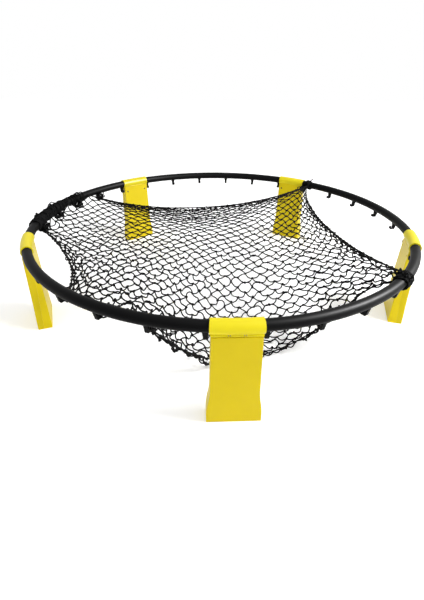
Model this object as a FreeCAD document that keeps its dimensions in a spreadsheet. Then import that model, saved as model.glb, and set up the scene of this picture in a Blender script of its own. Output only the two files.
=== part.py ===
import FreeCAD, Part
import math
import os
import Sketcher

# A roundnet set for the lawn: a ring of five plug-together rim sections with
# moulded hooks, five collars that join them, five legs that fold at the
# collars, and a slack knotted net that hangs on some of the hooks.
# Origin on the floor under the ring's centre, Z up, millimetres and degrees.

SIZES = [
    # Ring and rim sections
    ("ring_outer_dia", 914.4),
    ("rim_height", 190),
    ("tube_dia", 20.4),
    ("tube_wall", 2.2),
    ("spigot_length", 28),
    ("spigot_root", 8),
    ("spigot_wall", 1.8),
    ("slide_fit", 0.15),
    ("butt_gap", 0.3),
    # Hooks under the rim
    ("hook_count", 6),
    ("hook_wide", 6.4),
    ("hook_shank", 5.5),
    ("hook_drop", 15),
    ("hook_floor", 3),
    ("hook_reach", 10),
    ("hook_tip", 3.4),
    ("hook_tip_rise", 4.5),
    ("hook_draft", 0.6),
    ("hook_root_in", 26),
    ("hook_root_out", 48),
    ("gusset_wide", 10),
    ("gusset_drop", 8),
    ("gusset_thick", 4.5),
    # Collars and hinges
    ("collar_wide", 83),
    ("collar_wall", 2.5),
    ("lip_inset", 0.8),
    ("pin_dia", 2),
    ("pin_reach", 13.4),
    ("pin_slope", 57),
    ("pin_fit", 0.1),
    ("pin_inset", 1),
    ("lip_radius", 2.4),
    ("ear_radius", 2.2),
    ("ear_thick", 2.4),
    ("slit_room", 1),
    ("ear_spacing", 24.4),
    ("ear_root", 8),
    ("run_fit", 0.4),
    ("cut_margin", 20),
    # Legs
    ("face_top", 10),
    ("face_foot", 5.5),
    ("back_top", 12.4),
    ("back_foot", 25),
    ("crease_drop", 6.5),
    ("split_depth", 7),
    ("leg_top_wide", 80),
    ("leg_waist_wide", 82),
    ("leg_foot_wide", 93),
    ("waist_height", 70),
    ("flare_height", 12),
    ("leg_edge", 1.2),
    ("leg_wall", 2.5),
    ("head_drop", 34),
    ("seam_gap", 0.2),
    # Screws that hold a leg's cover
    ("screw_spacing", 61),
    ("screw_drop", 24),
    ("screw_head_dia", 5),
    ("screw_head_high", 2),
    ("screw_dia", 2.6),
    ("screw_length", 12),
    ("screw_recess", 1),
    ("screw_fit", 0.15),
    # Net: its cord and gaps, its room at the hooks, and how far its free edges bow inward
    ("net_cord", 2.6),
    ("net_pitch", 42),
    ("net_least_gap", 6),
    ("net_clear", 0.3),
    ("net_eye_side", 1.4),
    ("net_corner", 12),
    ("net_level_edge", 8),
    ("net_right_bow", 20),
    ("net_rear_bow", 32),
    ("net_left_bow", 14),
    ("net_front_bow", 61),
]
LEGS = 5
# The hooks that hold the net, in groups, counted round the ring from the front leg, and
# the free edge that follows each group.
HELD_HOOKS = [(3, 4), (11, 11), (19, 22), (26, 28)]
FREE_EDGES = ["net_right_bow", "net_rear_bow", "net_left_bow", "net_front_bow"]
# The facets of the hanging net: spokes round the ring, and rings as shares of its level edge.
DRAPE_SPOKES = 20
DRAPE_RINGS = [0.28, 0.53, 0.76, 1, 1.05]
# How strongly the nearest points of the drape outweigh the others.
NEARNESS = 4
# Where the slack net hangs: azimuth, distance from the ring's axis and height.
NET_DRAPE = [
    # The bed
    (0, 0, 102), (0, 130, 100), (75, 130, 111), (105, 140, 108), (180, 130, 110),
    (240, 120, 94), (285, 120, 78), (0, 250, 106), (36, 250, 122), (324, 250, 106),
    (162, 250, 123), (190, 250, 126), (216, 250, 126), (234, 250, 112),
    # The shallow dip in front of the rear edge, and that edge
    (75, 220, 116), (93, 205, 106), (110, 210, 104), (130, 220, 110), (144, 240, 119),
    (93, 258, 126), (71, 283, 132), (118, 285, 131), (134, 343, 145), (150, 345, 145),
    # The right edge and the left edge
    (12, 300, 132), (38, 360, 150), (338, 345, 144), (52, 330, 142),
    (180, 350, 147), (205, 370, 156), (225, 340, 141),
    # The slack apron in front, and the slopes down to it
    (268, 240, 22), (285, 240, 14), (268, 315, 12), (285, 312, 8), (299, 290, 26),
    (304, 350, 52), (310, 400, 110), (255, 330, 66), (254, 400, 118), (252, 240, 84),
    (262, 200, 66), (285, 190, 60), (304, 220, 70), (312, 300, 80), (322, 320, 130),
]


class Size:
    """A number together with the sheet expression that it stands for."""

    def __init__(self, value, text):
        self.value = value
        self.text = text

    def __add__(self, other):
        other = as_size(other)
        return Size(self.value + other.value, f"({self.text} + {other.text})")

    def __sub__(self, other):
        other = as_size(other)
        return Size(self.value - other.value, f"({self.text} - {other.text})")

    def __mul__(self, other):
        other = as_size(other)
        return Size(self.value * other.value, f"({self.text} * {other.text})")

    def __truediv__(self, other):
        other = as_size(other)
        return Size(self.value / other.value, f"({self.text} / {other.text})")

    def __neg__(self):
        return Size(-self.value, f"(0 - {self.text})")


def as_size(number):
    return number if isinstance(number, Size) else Size(float(number), str(number))


def cosine(angle):
    return Size(math.cos(math.radians(angle.value)), f"cos({angle.text})")


def sine(angle):
    return Size(math.sin(math.radians(angle.value)), f"sin({angle.text})")


def arc_angle(length, radius):
    """The angle in degrees that an arc of that length spans at that radius."""
    return length / radius * as_size(180 / math.pi)


def make_sheet(doc):
    sheet = doc.addObject("Spreadsheet::Sheet", "Sizes")
    for row, (name, value) in enumerate(SIZES, 1):
        sheet.set(f"A{row}", name)
        sheet.set(f"B{row}", str(value))
        sheet.setAlias(f"B{row}", name)
    doc.recompute()
    return {name: Size(float(sheet.get(name)), f"Sizes.{name}") for name, _ in SIZES}


def vec(x, y, z=0):
    return FreeCAD.Vector(x, y, z)


def bind(thing, prop, size):
    """Ties a property to a size, so that it follows the sheet."""
    thing.setExpression(prop, as_size(size).text)


# Sketch helpers

def constrain(sketch, kind, size, *where):
    index = sketch.addConstraint(Sketcher.Constraint(kind, *where, size.value))
    bind(sketch, f"Constraints[{index}]", size)


def pin_point(sketch, geo, end, point):
    """Holds one end of a line, or a circle's centre, at a point given in sizes."""
    constrain(sketch, "DistanceX", point[0], -1, 1, geo, end)
    constrain(sketch, "DistanceY", point[1], -1, 1, geo, end)


def flat(point):
    return vec(point[0].value, point[1].value)


def add_arc(sketch, centre, start, end):
    """The shorter arc between two points, and which of its ends is the start."""
    middle = flat(centre)
    near, far = flat(start) - middle, flat(end) - middle
    angles = [math.atan2(arm.y, arm.x) for arm in (near, far)]
    forward = near.cross(far).z > 0
    if not forward:
        angles.reverse()
    circle = Part.Circle(middle, vec(0, 0, 1), near.Length)
    sketch.addGeometry(Part.ArcOfCircle(circle, *angles))
    return 1 if forward else 2


def draw_outline(sketch, corners, centres=None):
    """A closed outline of lines. Where centres has i, corner i and the next are joined
    by an arc about that centre."""
    centres = centres or {}
    first = sketch.GeometryCount
    starts = []
    for i, corner in enumerate(corners):
        after = corners[(i + 1) % len(corners)]
        if i in centres:
            starts.append(add_arc(sketch, centres[i], corner, after))
        else:
            sketch.addGeometry(Part.LineSegment(flat(corner), flat(after)))
            starts.append(1)
    for i, corner in enumerate(corners):
        after = (i + 1) % len(corners)
        ends = (first + i, 3 - starts[i], first + after, starts[after])
        sketch.addConstraint(Sketcher.Constraint("Coincident", *ends))
        pin_point(sketch, first + i, starts[i], corner)
    for i, centre in centres.items():
        chord = flat(corners[(i + 1) % len(corners)]) - flat(corners[i])
        if abs(chord.y) >= abs(chord.x):
            constrain(sketch, "DistanceX", centre[0], -1, 1, first + i, 3)
        else:
            constrain(sketch, "DistanceY", centre[1], -1, 1, first + i, 3)


def draw_circle(sketch, centre, radius):
    geo = sketch.addGeometry(Part.Circle(flat(centre), vec(0, 0, 1), radius.value))
    pin_point(sketch, geo, 3, centre)
    constrain(sketch, "Radius", radius, geo)


def new_body(doc, name):
    body = doc.addObject("PartDesign::Body", name)
    body.Label = name
    return body


def origin_feature(body, role):
    return next(f for f in body.Origin.OriginFeatures if f.Role == role)


def new_sketch(body, name, role="XZ_Plane", turn=None, shift=None):
    """A sketch on one of the body's planes. In the XZ plane, turn swings it about the
    ring's axis and shift moves it along Y."""
    sketch = body.newObject("Sketcher::SketchObject", name)
    sketch.AttachmentSupport = [(origin_feature(body, role), "")]
    sketch.MapMode = "FlatFace"
    if turn is not None:
        turned = FreeCAD.Rotation(vec(0, 1, 0), turn.value)
        sketch.AttachmentOffset = FreeCAD.Placement(vec(0, 0, 0), turned)
        bind(sketch, "AttachmentOffset.Rotation.Angle", turn)
    if shift is not None:
        bind(sketch, "AttachmentOffset.Base.z", shift)
    return sketch


def revolve(body, sketch, angle=None, cut=False, middle=False):
    """Turns a sketch about the ring's axis: all the way round, unless it has an angle."""
    kind = "PartDesign::Groove" if cut else "PartDesign::Revolution"
    feature = body.newObject(kind, sketch.Name + ("Groove" if cut else "Turn"))
    feature.Profile = sketch
    feature.ReferenceAxis = (sketch, ["V_Axis"])
    feature.Midplane = middle
    bind(feature, "Angle", 360 if angle is None else angle)
    return feature


def extrude(body, sketch, length, cut=False, middle=True):
    kind = "PartDesign::Pocket" if cut else "PartDesign::Pad"
    feature = body.newObject(kind, sketch.Name + ("Cut" if cut else "Pad"))
    feature.Profile = sketch
    feature.Midplane = middle
    bind(feature, "Length", length)
    return feature


# Sizes that several pieces share

def derive(s):
    d = dict(s)
    d["section_angle"] = as_size(360 / LEGS)
    d["tube_radius"] = s["tube_dia"] / 2
    d["bore_radius"] = d["tube_radius"] - s["tube_wall"]
    d["ring_radius"] = (s["ring_outer_dia"] - s["tube_dia"]) / 2
    d["collar_bore"] = d["tube_radius"] + s["slide_fit"]
    d["collar_radius"] = d["collar_bore"] + s["collar_wall"]
    d["pin_x"] = d["ring_radius"] + s["pin_reach"] * cosine(s["pin_slope"])
    d["pin_z"] = s["rim_height"] - s["pin_reach"] * sine(s["pin_slope"])
    d["pin_radius"] = s["pin_dia"] / 2
    d["seam_z"] = d["pin_z"] - s["lip_radius"] - s["run_fit"]
    d["slit_wide"] = s["ear_thick"] + s["slit_room"] * 2
    d["split_x"] = d["ring_radius"] - s["split_depth"]
    d["screw_z"] = s["rim_height"] - s["screw_drop"]
    d["hook_seat"] = s["rim_height"] - d["tube_radius"] - s["hook_drop"] + s["hook_floor"]
    hook_middle = (s["hook_reach"] - s["hook_tip"] + s["hook_shank"] / 2) / 2
    d["net_radius"] = d["ring_radius"] - hook_middle
    d["net_seat"] = d["hook_seat"] + s["net_clear"]
    return d


# Rim section: its own frame has X through the middle of its arc

def hook_profile(s):
    """The J in the plane that holds the ring's axis: a fin that tapers from the tube's
    wall down to the floor, and an upturned tip. Its root is an arc in the tube's wall."""
    middle = s["ring_radius"]
    floor = s["hook_seat"] - s["hook_floor"]
    seat = s["hook_seat"]
    out = middle + s["hook_shank"] / 2
    shank_in = middle - s["hook_shank"] / 2
    tip_in = middle - s["hook_reach"]
    tip_out = tip_in + s["hook_tip"]
    tip_top = seat + s["hook_tip_rise"]
    draft = s["hook_draft"]
    bevel = s["hook_floor"] / 2
    root = s["tube_radius"] - s["tube_wall"] / 2

    def on_root(angle):
        return (middle + root * sine(angle), s["rim_height"] - root * cosine(angle))

    corners = [
        on_root(s["hook_root_out"]),
        (out - draft, floor + bevel),
        (out - draft - bevel, floor),
        (tip_in + bevel, floor),
        (tip_in, floor + bevel),
        (tip_in + draft, tip_top),
        (tip_out - draft / 2, tip_top),
        (tip_out, seat),
        (shank_in, seat),
        on_root(-s["hook_root_in"]),
    ]
    return corners, {9: (middle, s["rim_height"])}


def make_rim_section(doc, s, name):
    body = new_body(doc, name)
    centre = (s["ring_radius"], s["rim_height"])
    half = s["section_angle"] / 2
    gap = arc_angle(s["butt_gap"], s["ring_radius"])

    tube = new_sketch(body, name + "_tube")
    draw_circle(tube, centre, s["tube_radius"])
    draw_circle(tube, centre, s["bore_radius"])
    revolve(body, tube, s["section_angle"] - gap, middle=True)

    root_angle = arc_angle(s["spigot_root"], s["ring_radius"])
    reach_angle = arc_angle(s["spigot_length"], s["ring_radius"])
    spigot_radius = s["bore_radius"] - s["slide_fit"]
    spigot_bore = spigot_radius - s["spigot_wall"]
    start = half - gap - root_angle
    plug = new_sketch(body, name + "_plug", turn=start)
    draw_circle(plug, centre, s["bore_radius"] + s["tube_wall"] / 2)
    draw_circle(plug, centre, spigot_bore)
    revolve(body, plug, root_angle)

    spigot = new_sketch(body, name + "_spigot", turn=start + root_angle / 2)
    draw_circle(spigot, centre, spigot_radius)
    draw_circle(spigot, centre, spigot_bore)
    revolve(body, spigot, reach_angle + root_angle / 2)

    pitch = s["section_angle"] / s["hook_count"]
    first = pitch / 2 - half
    hook = new_sketch(body, name + "_hook", turn=first)
    draw_outline(hook, *hook_profile(s))
    hook_pad = extrude(body, hook, s["hook_wide"])

    web = new_sketch(body, name + "_web", "YZ_Plane")
    top = s["rim_height"] - s["tube_radius"] + s["tube_wall"] / 2
    low = s["rim_height"] - s["tube_radius"] - s["gusset_drop"]
    wide = s["gusset_wide"] / 2
    narrow = s["hook_wide"] / 2
    draw_outline(web, [(-wide, top), (-narrow, low), (narrow, low), (wide, top)])
    turned = FreeCAD.Placement(vec(0, 0, 0), FreeCAD.Rotation(vec(0, 1, 0), first.value))
    web.AttachmentOffset = turned
    bind(web, "AttachmentOffset.Rotation.Angle", first)
    bind(web, "AttachmentOffset.Base.x", s["ring_radius"] * sine(first))
    bind(web, "AttachmentOffset.Base.z", s["ring_radius"] * cosine(first))
    web_pad = extrude(body, web, s["gusset_thick"])

    hooks = body.newObject("PartDesign::PolarPattern", name + "_hooks")
    hooks.Originals = [hook_pad, web_pad]
    hooks.Axis = (origin_feature(body, "Z_Axis"), [""])
    bind(hooks, "Angle", s["section_angle"] - pitch)
    bind(hooks, "Occurrences", s["hook_count"])
    body.Tip = hooks
    return body


# Collar, pin and leg: their own frame has X through the middle of the leg

def make_collar(doc, s, name):
    body = new_body(doc, name)
    centre = (s["ring_radius"], s["rim_height"])
    pin = (s["pin_x"], s["pin_z"])
    span = arc_angle(s["collar_wide"], s["ring_radius"])

    sleeve = new_sketch(body, name + "_sleeve")
    draw_circle(sleeve, centre, s["collar_radius"])
    revolve(body, sleeve, span, middle=True)

    lip = new_sketch(body, name + "_lip")
    draw_circle(lip, pin, s["lip_radius"])
    extrude(body, lip, s["collar_wide"] - s["lip_inset"] * 2)

    bore = new_sketch(body, name + "_bore")
    draw_circle(bore, centre, s["collar_bore"])
    revolve(body, bore, cut=True)

    slit = new_sketch(body, name + "_slit", shift=s["ear_spacing"] / 2)
    draw_slit(slit, s)
    slit_cut = extrude(body, slit, s["slit_wide"], cut=True)
    slits = body.newObject("PartDesign::Mirrored", name + "_slits")
    slits.Originals = [slit_cut]
    slits.MirrorPlane = (origin_feature(body, "XZ_Plane"), [""])
    body.Tip = slits

    hole = new_sketch(body, name + "_hole")
    draw_circle(hole, pin, s["pin_radius"] + s["pin_fit"])
    extrude(body, hole, s["collar_wide"] + s["cut_margin"], cut=True)
    return body


def draw_slit(sketch, s):
    """The room that an ear sweeps as its leg swings from hanging to level: a quarter
    round above the pin's inner side, open below and outward."""
    x, z = s["pin_x"], s["pin_z"]
    room = s["ear_radius"] + s["run_fit"]
    beyond = s["collar_radius"]
    left = (x - room, z)
    top = (x, z + room)
    low = [(x - room, z - beyond), (x + beyond, z - beyond), (x + beyond, z + room)]
    draw_outline(sketch, [top, left] + low, {0: (x, z)})


def make_pin(doc, s, name):
    body = new_body(doc, name)
    rod = new_sketch(body, name + "_rod")
    draw_circle(rod, (s["pin_x"], s["pin_z"]), s["pin_radius"])
    extrude(body, rod, s["collar_wide"] - s["pin_inset"] * 2)
    return body


def on_slope(s, inner, height):
    """How far out a leg's back, or its face, is at a height: both lean a little."""
    top = s["rim_height"] - s["crease_drop"] if inner else s["seam_z"]
    high = s["ring_radius"] - s["back_top"] if inner else s["ring_radius"] + s["face_top"]
    low = s["ring_radius"] - s["back_foot"] if inner else s["ring_radius"] + s["face_foot"]
    return low + (high - low) * as_size(height) / top


def side_outline(s, inner, hollow):
    """Half a leg from the side, between the split and its back or face. The hollow in
    it keeps a wall, stays below the solid head and runs out past the split."""
    way = -1 if inner else 1
    top = s["rim_height"] - s["crease_drop"]
    if hollow:
        wall = s["leg_wall"]
        low, high = wall, s["rim_height"] - s["head_drop"]
        open_side = s["split_x"] - wall * way
        return [
            (open_side, low),
            (open_side, high),
            (on_slope(s, inner, high) - wall * way, high),
            (on_slope(s, inner, low) - wall * way, low),
        ]
    split = s["split_x"] + s["seam_gap"] / 2 * way
    foot = (on_slope(s, inner, 0), as_size(0))
    if inner:
        return [(split, as_size(0)), (split, top), (on_slope(s, inner, top), top), foot]
    seam = s["seam_z"]
    under_ring = (s["ring_radius"], seam)
    face = (on_slope(s, inner, seam), seam)
    return [(split, as_size(0)), (split, top), under_ring, face, foot]


def waist_outline(s, wall):
    """What is cut away beside a leg: its side is straight down to the waist, flares in
    two arcs that meet in the middle, and is straight again to the foot."""
    top = s["leg_top_wide"] / 2 - wall
    waist = s["leg_waist_wide"] / 2 - wall
    foot = s["leg_foot_wide"] / 2 - wall
    step = foot - waist
    drop = s["waist_height"] - s["flare_height"]
    bend = (step * step + drop * drop) / (step * 4)
    mid = (waist + step / 2, s["flare_height"] + drop / 2)
    above, below = s["rim_height"] + s["cut_margin"], -s["cut_margin"]
    beyond = foot + s["cut_margin"]
    corners = [
        (top, above),
        (top, s["rim_height"]),
        (waist, s["waist_height"]),
        mid,
        (foot, s["flare_height"]),
        (foot, below),
        (beyond, below),
        (beyond, above),
    ]
    centres = {
        2: (waist + bend, s["waist_height"]),
        3: (foot - bend, s["flare_height"]),
    }
    return corners, centres


def leg_half(doc, s, name, inner, hollow=False):
    """Half a leg, or the hollow in it: its side outline, waisted on both sides."""
    body = new_body(doc, name)
    side = new_sketch(body, name + "_side")
    draw_outline(side, side_outline(s, inner, hollow))
    extrude(body, side, s["leg_foot_wide"] + s["cut_margin"])
    waist = new_sketch(body, name + "_waist", "YZ_Plane")
    draw_outline(waist, *waist_outline(s, s["leg_wall"] if hollow else as_size(0)))
    waist_cut = extrude(body, waist, (s["ring_radius"] + s["cut_margin"]) * 2, cut=True)
    sides = body.newObject("PartDesign::Mirrored", name + "_sides")
    sides.Originals = [waist_cut]
    sides.MirrorPlane = (origin_feature(body, "XZ_Plane"), [""])
    body.Tip = sides
    return body


def hollow_out(doc, s, body, name, inner):
    hollow = leg_half(doc, s, name + "_hollow", inner, hollow=True)
    cut = body.newObject("PartDesign::Boolean", name + "_hollowed")
    cut.Type = "Cut"
    cut.setObjects([hollow])
    body.Tip = cut


def clear_collar(body, s, name):
    """The cradle at the top of a leg, which stops it against the collar."""
    cradle = new_sketch(body, name + "_cradle")
    draw_circle(cradle, (s["ring_radius"], s["rim_height"]), s["collar_radius"] + s["run_fit"])
    revolve(body, cradle, s["section_angle"], cut=True, middle=True)


def round_face(doc, s, body, name, inner):
    """Rounds the edges round a leg's face or back."""
    doc.recompute()
    names = []
    for number, edge in enumerate(body.Shape.Edges, 1):
        middle = edge.valueAt((edge.FirstParameter + edge.LastParameter) / 2)
        points = [vertex.Point for vertex in edge.Vertexes] + [middle]
        if all(abs(p.x - on_slope(s, inner, p.z).value) < 0.01 for p in points):
            names.append(f"Edge{number}")
    fillet = body.newObject("PartDesign::Fillet", name + "_round")
    fillet.Base = (fillet.BaseFeature, names)
    bind(fillet, "Radius", s["leg_edge"])
    body.Tip = fillet


def screw_profile(s, fit):
    """Half a screw along X, from its head, or with a fit the hole that it goes in."""
    fit = as_size(fit)
    zero = as_size(0)
    open_end = on_slope(s, True, s["screw_z"])
    head = open_end + s["screw_recess"]
    neck = head + s["screw_head_high"]
    end = neck + s["screw_length"] + fit
    start = head if fit.value == 0 else open_end - s["cut_margin"]
    head_radius = s["screw_head_dia"] / 2 + fit
    radius = s["screw_dia"] / 2 + fit
    return [
        (start, zero),
        (start, head_radius),
        (neck, head_radius),
        (neck, radius),
        (end - radius, radius),
        (end, zero),
    ]


def screw_turn(body, s, name, side, fit):
    sketch = new_sketch(body, name, shift=s["screw_spacing"] / 2 * side)
    bind(sketch, "AttachmentOffset.Base.y", s["screw_z"])
    draw_outline(sketch, screw_profile(s, fit))
    kind = "PartDesign::Revolution" if fit == 0 else "PartDesign::Groove"
    feature = body.newObject(kind, name + "_turn")
    feature.Profile = sketch
    feature.ReferenceAxis = (sketch, ["H_Axis"])
    feature.Angle = 360
    body.Tip = feature
    return feature


def make_screws(doc, s, name):
    """The two equal screws of a leg, as one piece with two solids."""
    screws = []
    for side in (-1, 1):
        screw = new_body(doc, f"{name}_{'left' if side < 0 else 'right'}")
        screw_turn(screw, s, screw.Name + "_profile", side, 0)
        screws.append(screw)
    pair = doc.addObject("Part::Compound", name)
    pair.Label = name
    pair.Links = screws
    return pair


def make_shell(doc, s, name):
    body = leg_half(doc, s, name, inner=False)
    round_face(doc, s, body, name, inner=False)
    clear_collar(body, s, name)
    hollow_out(doc, s, body, name, inner=False)

    x, z, reach = s["pin_x"], s["pin_z"], s["ear_radius"]
    root = s["seam_z"] - s["ear_root"]
    ear = new_sketch(body, name + "_ear", shift=s["ear_spacing"] / 2)
    sides = [(x - reach, z), (x - reach, root), (x + reach, root), (x + reach, z)]
    draw_outline(ear, [(x, z + reach)] + sides, {0: (x, z), 4: (x, z)})
    ear_pad = extrude(body, ear, s["ear_thick"])
    ears = body.newObject("PartDesign::Mirrored", name + "_ears")
    ears.Originals = [ear_pad]
    ears.MirrorPlane = (origin_feature(body, "XZ_Plane"), [""])
    body.Tip = ears

    eye = new_sketch(body, name + "_eye")
    draw_circle(eye, (x, z), s["pin_radius"] + s["pin_fit"] * 2)
    extrude(body, eye, s["collar_wide"], cut=True)
    for side in (-1, 1):
        screw_turn(body, s, f"{name}_pilot_{side + 2}", side, s["screw_fit"])
    return body


def make_cover(doc, s, name):
    body = leg_half(doc, s, name, inner=True)
    round_face(doc, s, body, name, inner=True)
    clear_collar(body, s, name)
    hollow_out(doc, s, body, name, inner=True)
    for side in (-1, 1):
        screw_turn(body, s, f"{name}_hole_{side + 2}", side, s["screw_fit"])
    return body


# Net

def polar(radius, degrees, z=0):
    turn = math.radians(degrees)
    return vec(radius * math.cos(turn), radius * math.sin(turn), z)


def hook_azimuth(s, number):
    pitch = s["section_angle"].value / s["hook_count"].value
    return -90 + pitch * (number + 0.5)


def bowed(start, end, depth):
    """An arc between two points that bows towards the ring's axis."""
    middle = (start + end) / 2
    inward = vec(-middle.x, -middle.y).normalize()
    return Part.Arc(start, middle + inward * depth, end).toShape()


def net_outline(s, radius):
    """The net's edge from above. It is round where hooks hold it, turns straight inward at
    the last hook of a group, and is bowed from there to the next group."""
    inner = radius - s["net_corner"].value
    beside = s["hook_wide"] / 2 + s["net_clear"] + s["net_eye_side"]
    side = arc_angle(beside, s["net_radius"]).value
    edges = []
    for i, (first, last) in enumerate(HELD_HOOKS):
        start, end = hook_azimuth(s, first) - side, hook_azimuth(s, last) + side
        after = hook_azimuth(s, HELD_HOOKS[(i + 1) % len(HELD_HOOKS)][0]) - side
        held = [polar(radius, a) for a in (start, (start + end) / 2, end)]
        corners = [polar(inner, end), polar(inner, after), polar(radius, after)]
        edges.append(Part.Arc(*held).toShape())
        edges.append(Part.makeLine(held[2], corners[0]))
        edges.append(bowed(corners[0], corners[1], s[FREE_EDGES[i]].value))
        edges.append(Part.makeLine(corners[1], corners[2]))
    return Part.Wire(edges)


def box_face(low_x, low_y, high_x, high_y, turn):
    """A flat rectangle on the floor, turned about the ring's axis."""
    corners = [vec(low_x, low_y), vec(high_x, low_y), vec(high_x, high_y), vec(low_x, high_y)]
    face = Part.Face(Part.makePolygon(corners + corners[:1]))
    face.rotate(vec(0, 0, 0), vec(0, 0, 1), turn)
    return face


def net_gaps(s, inside):
    """The net's square gaps, which stand on their corners, cut off at its edge cord and
    at the pads round the eyes."""
    cord, pitch = s["net_cord"].value, s["net_pitch"].value
    half = (pitch - cord) / 2
    reach = math.ceil(s["net_radius"].value / pitch)
    squares = []
    for row in range(-reach, reach + 1):
        for column in range(-reach, reach + 1):
            x, y = row * pitch, column * pitch
            squares.append(box_face(x - half, y - half, x + half, y + half, 45))
    pads = Part.makeCompound(at_held_hooks(s, s["net_eye_side"].value))
    gaps = inside.common(Part.makeCompound(squares)).cut(pads).Faces
    return [gap for gap in gaps if gap.Area > s["net_least_gap"].value ** 2]


def at_held_hooks(s, wider):
    """The eyes that the tips of the holding hooks stand up through, or the pads of net
    round them, which are wider on every side."""
    side = (s["hook_wide"] / 2 + s["net_clear"]).value + wider
    inner = (s["ring_radius"] - s["hook_reach"] - s["net_clear"]).value - wider
    outer = (s["net_radius"] - s["net_cord"] / 2).value + wider
    places = []
    for first, last in HELD_HOOKS:
        for number in range(first, last + 1):
            places.append(box_face(inner, -side, outer, side, hook_azimuth(s, number)))
    return places


def hang_height(place):
    """The net's height at a place: a mean of the drape's points, the near ones first."""
    total = weights = 0
    for azimuth, radius, height in NET_DRAPE:
        far = (polar(radius, azimuth) - place).Length
        weight = 1 / max(far, 1) ** NEARNESS
        total += height * weight
        weights += weight
    return total / weights


def hanging_slab(s):
    """A sheet of triangles, one cord thick, that hangs as the net does. It is level round
    its edge, where the hooks are."""
    level = (s["net_seat"] + s["net_cord"] / 2).value
    edge = (s["net_radius"] - s["net_level_edge"]).value
    spokes = [-90 + 360 / DRAPE_SPOKES * i for i in range(DRAPE_SPOKES + 1)]
    middle = polar(0, 0)
    middle.z = hang_height(middle)
    rings = [[middle] * len(spokes)]
    for share in DRAPE_RINGS:
        ring = [polar(edge * share, azimuth) for azimuth in spokes]
        for point in ring:
            point.z = level if share >= 1 else hang_height(point)
        rings.append(ring)
    triangles = []
    for near, far in zip(rings, rings[1:]):
        for i in range(DRAPE_SPOKES):
            triangles.append((near[i], far[i], far[i + 1]))
            if near is not rings[0]:
                triangles.append((near[i], far[i + 1], near[i + 1]))
    half = vec(0, 0, s["net_cord"].value / 2)
    faces = []
    for lift in (half, -half):
        faces += [polygon([corner + lift for corner in three]) for three in triangles]
    for a, b in zip(rings[-1], rings[-1][1:]):
        faces.append(polygon([a - half, b - half, b + half, a + half]))
    shell = Part.makeShell(faces)
    shell.sewShape()
    return Part.makeSolid(shell)


def polygon(corners):
    return Part.Face(Part.makePolygon(corners + corners[:1]))


def make_net(doc, s, name):
    """One face with the net's gaps in it, drawn from above and cut out of the sheet that
    hangs."""
    radius = s["net_radius"] + s["net_cord"] / 2
    outline = Part.Face(net_outline(s, radius.value))
    inside = outline.makeOffset2D(-s["net_cord"].value)
    gaps = net_gaps(s, inside)
    eyes = at_held_hooks(s, 0)
    print("net gaps", len(gaps), "eyes", len(eyes))
    holed = outline.cut(Part.makeCompound(gaps + eyes)).Faces[0]
    tall = holed.extrude(vec(0, 0, s["rim_height"].value))
    net = doc.addObject("Part::Feature", name)
    net.Label = name
    net.Shape = tall.common(hanging_slab(s)).removeSplitter()
    return net


def set_round_ring(piece, angle):
    piece.Placement = FreeCAD.Placement(vec(0, 0, 0), FreeCAD.Rotation(vec(0, 0, 1), angle))


def make_set(doc, s):
    pieces = []
    for k in range(LEGS):
        azimuth = -90 + 360 / LEGS * k
        at_leg = [
            make_collar(doc, s, f"collar_{k + 1}"),
            make_pin(doc, s, f"hinge_pin_{k + 1}"),
            make_shell(doc, s, f"leg_shell_{k + 1}"),
            make_cover(doc, s, f"leg_cover_{k + 1}"),
            make_screws(doc, s, f"leg_screws_{k + 1}"),
        ]
        for piece in at_leg:
            set_round_ring(piece, azimuth)
        section = make_rim_section(doc, s, f"rim_section_{k + 1}")
        set_round_ring(section, azimuth + 180 / LEGS)
        pieces += [section] + at_leg
    pieces.append(make_net(doc, s, "net"))
    return pieces


def check_and_write(doc, pieces):
    for thing in doc.Objects:
        if "Invalid" in thing.State or "Error" in thing.State:
            raise RuntimeError(f"{thing.Name} didn't recompute: {thing.State}")
    for piece in pieces:
        if piece.Shape.isNull() or not piece.Shape.isValid() or not piece.Shape.Solids:
            raise RuntimeError(f"{piece.Label} has no valid solid")
    os.makedirs("parts", exist_ok=True)
    for piece in pieces:
        piece.Shape.exportStep(f"parts/{piece.Label}.step")
        print(piece.Label, len(piece.Shape.Solids), round(piece.Shape.Volume, 1))


doc = FreeCAD.newDocument("Roundnet")
pieces = make_set(doc, derive(make_sheet(doc)))
doc.recompute()
check_and_write(doc, pieces)
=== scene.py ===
# %% [markdown]
# # A roundnet set, dressed in Blender
# The set is a lawn game: a ring of black tube sections stands on five yellow fold-out
# legs, and a slack black net hangs on some of the hooks under the ring. The hard pieces
# arrive finished as meshes from the CAD model, so this lesson gives them their plastics
# and metals, hangs the net by a small simulation, knots it with Geometry Nodes, and sets
# up the floor, the lamps and the camera.

# %% Load the frame
import math

import bpy
import numpy as np
from mathutils import Matrix, Vector


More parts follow.
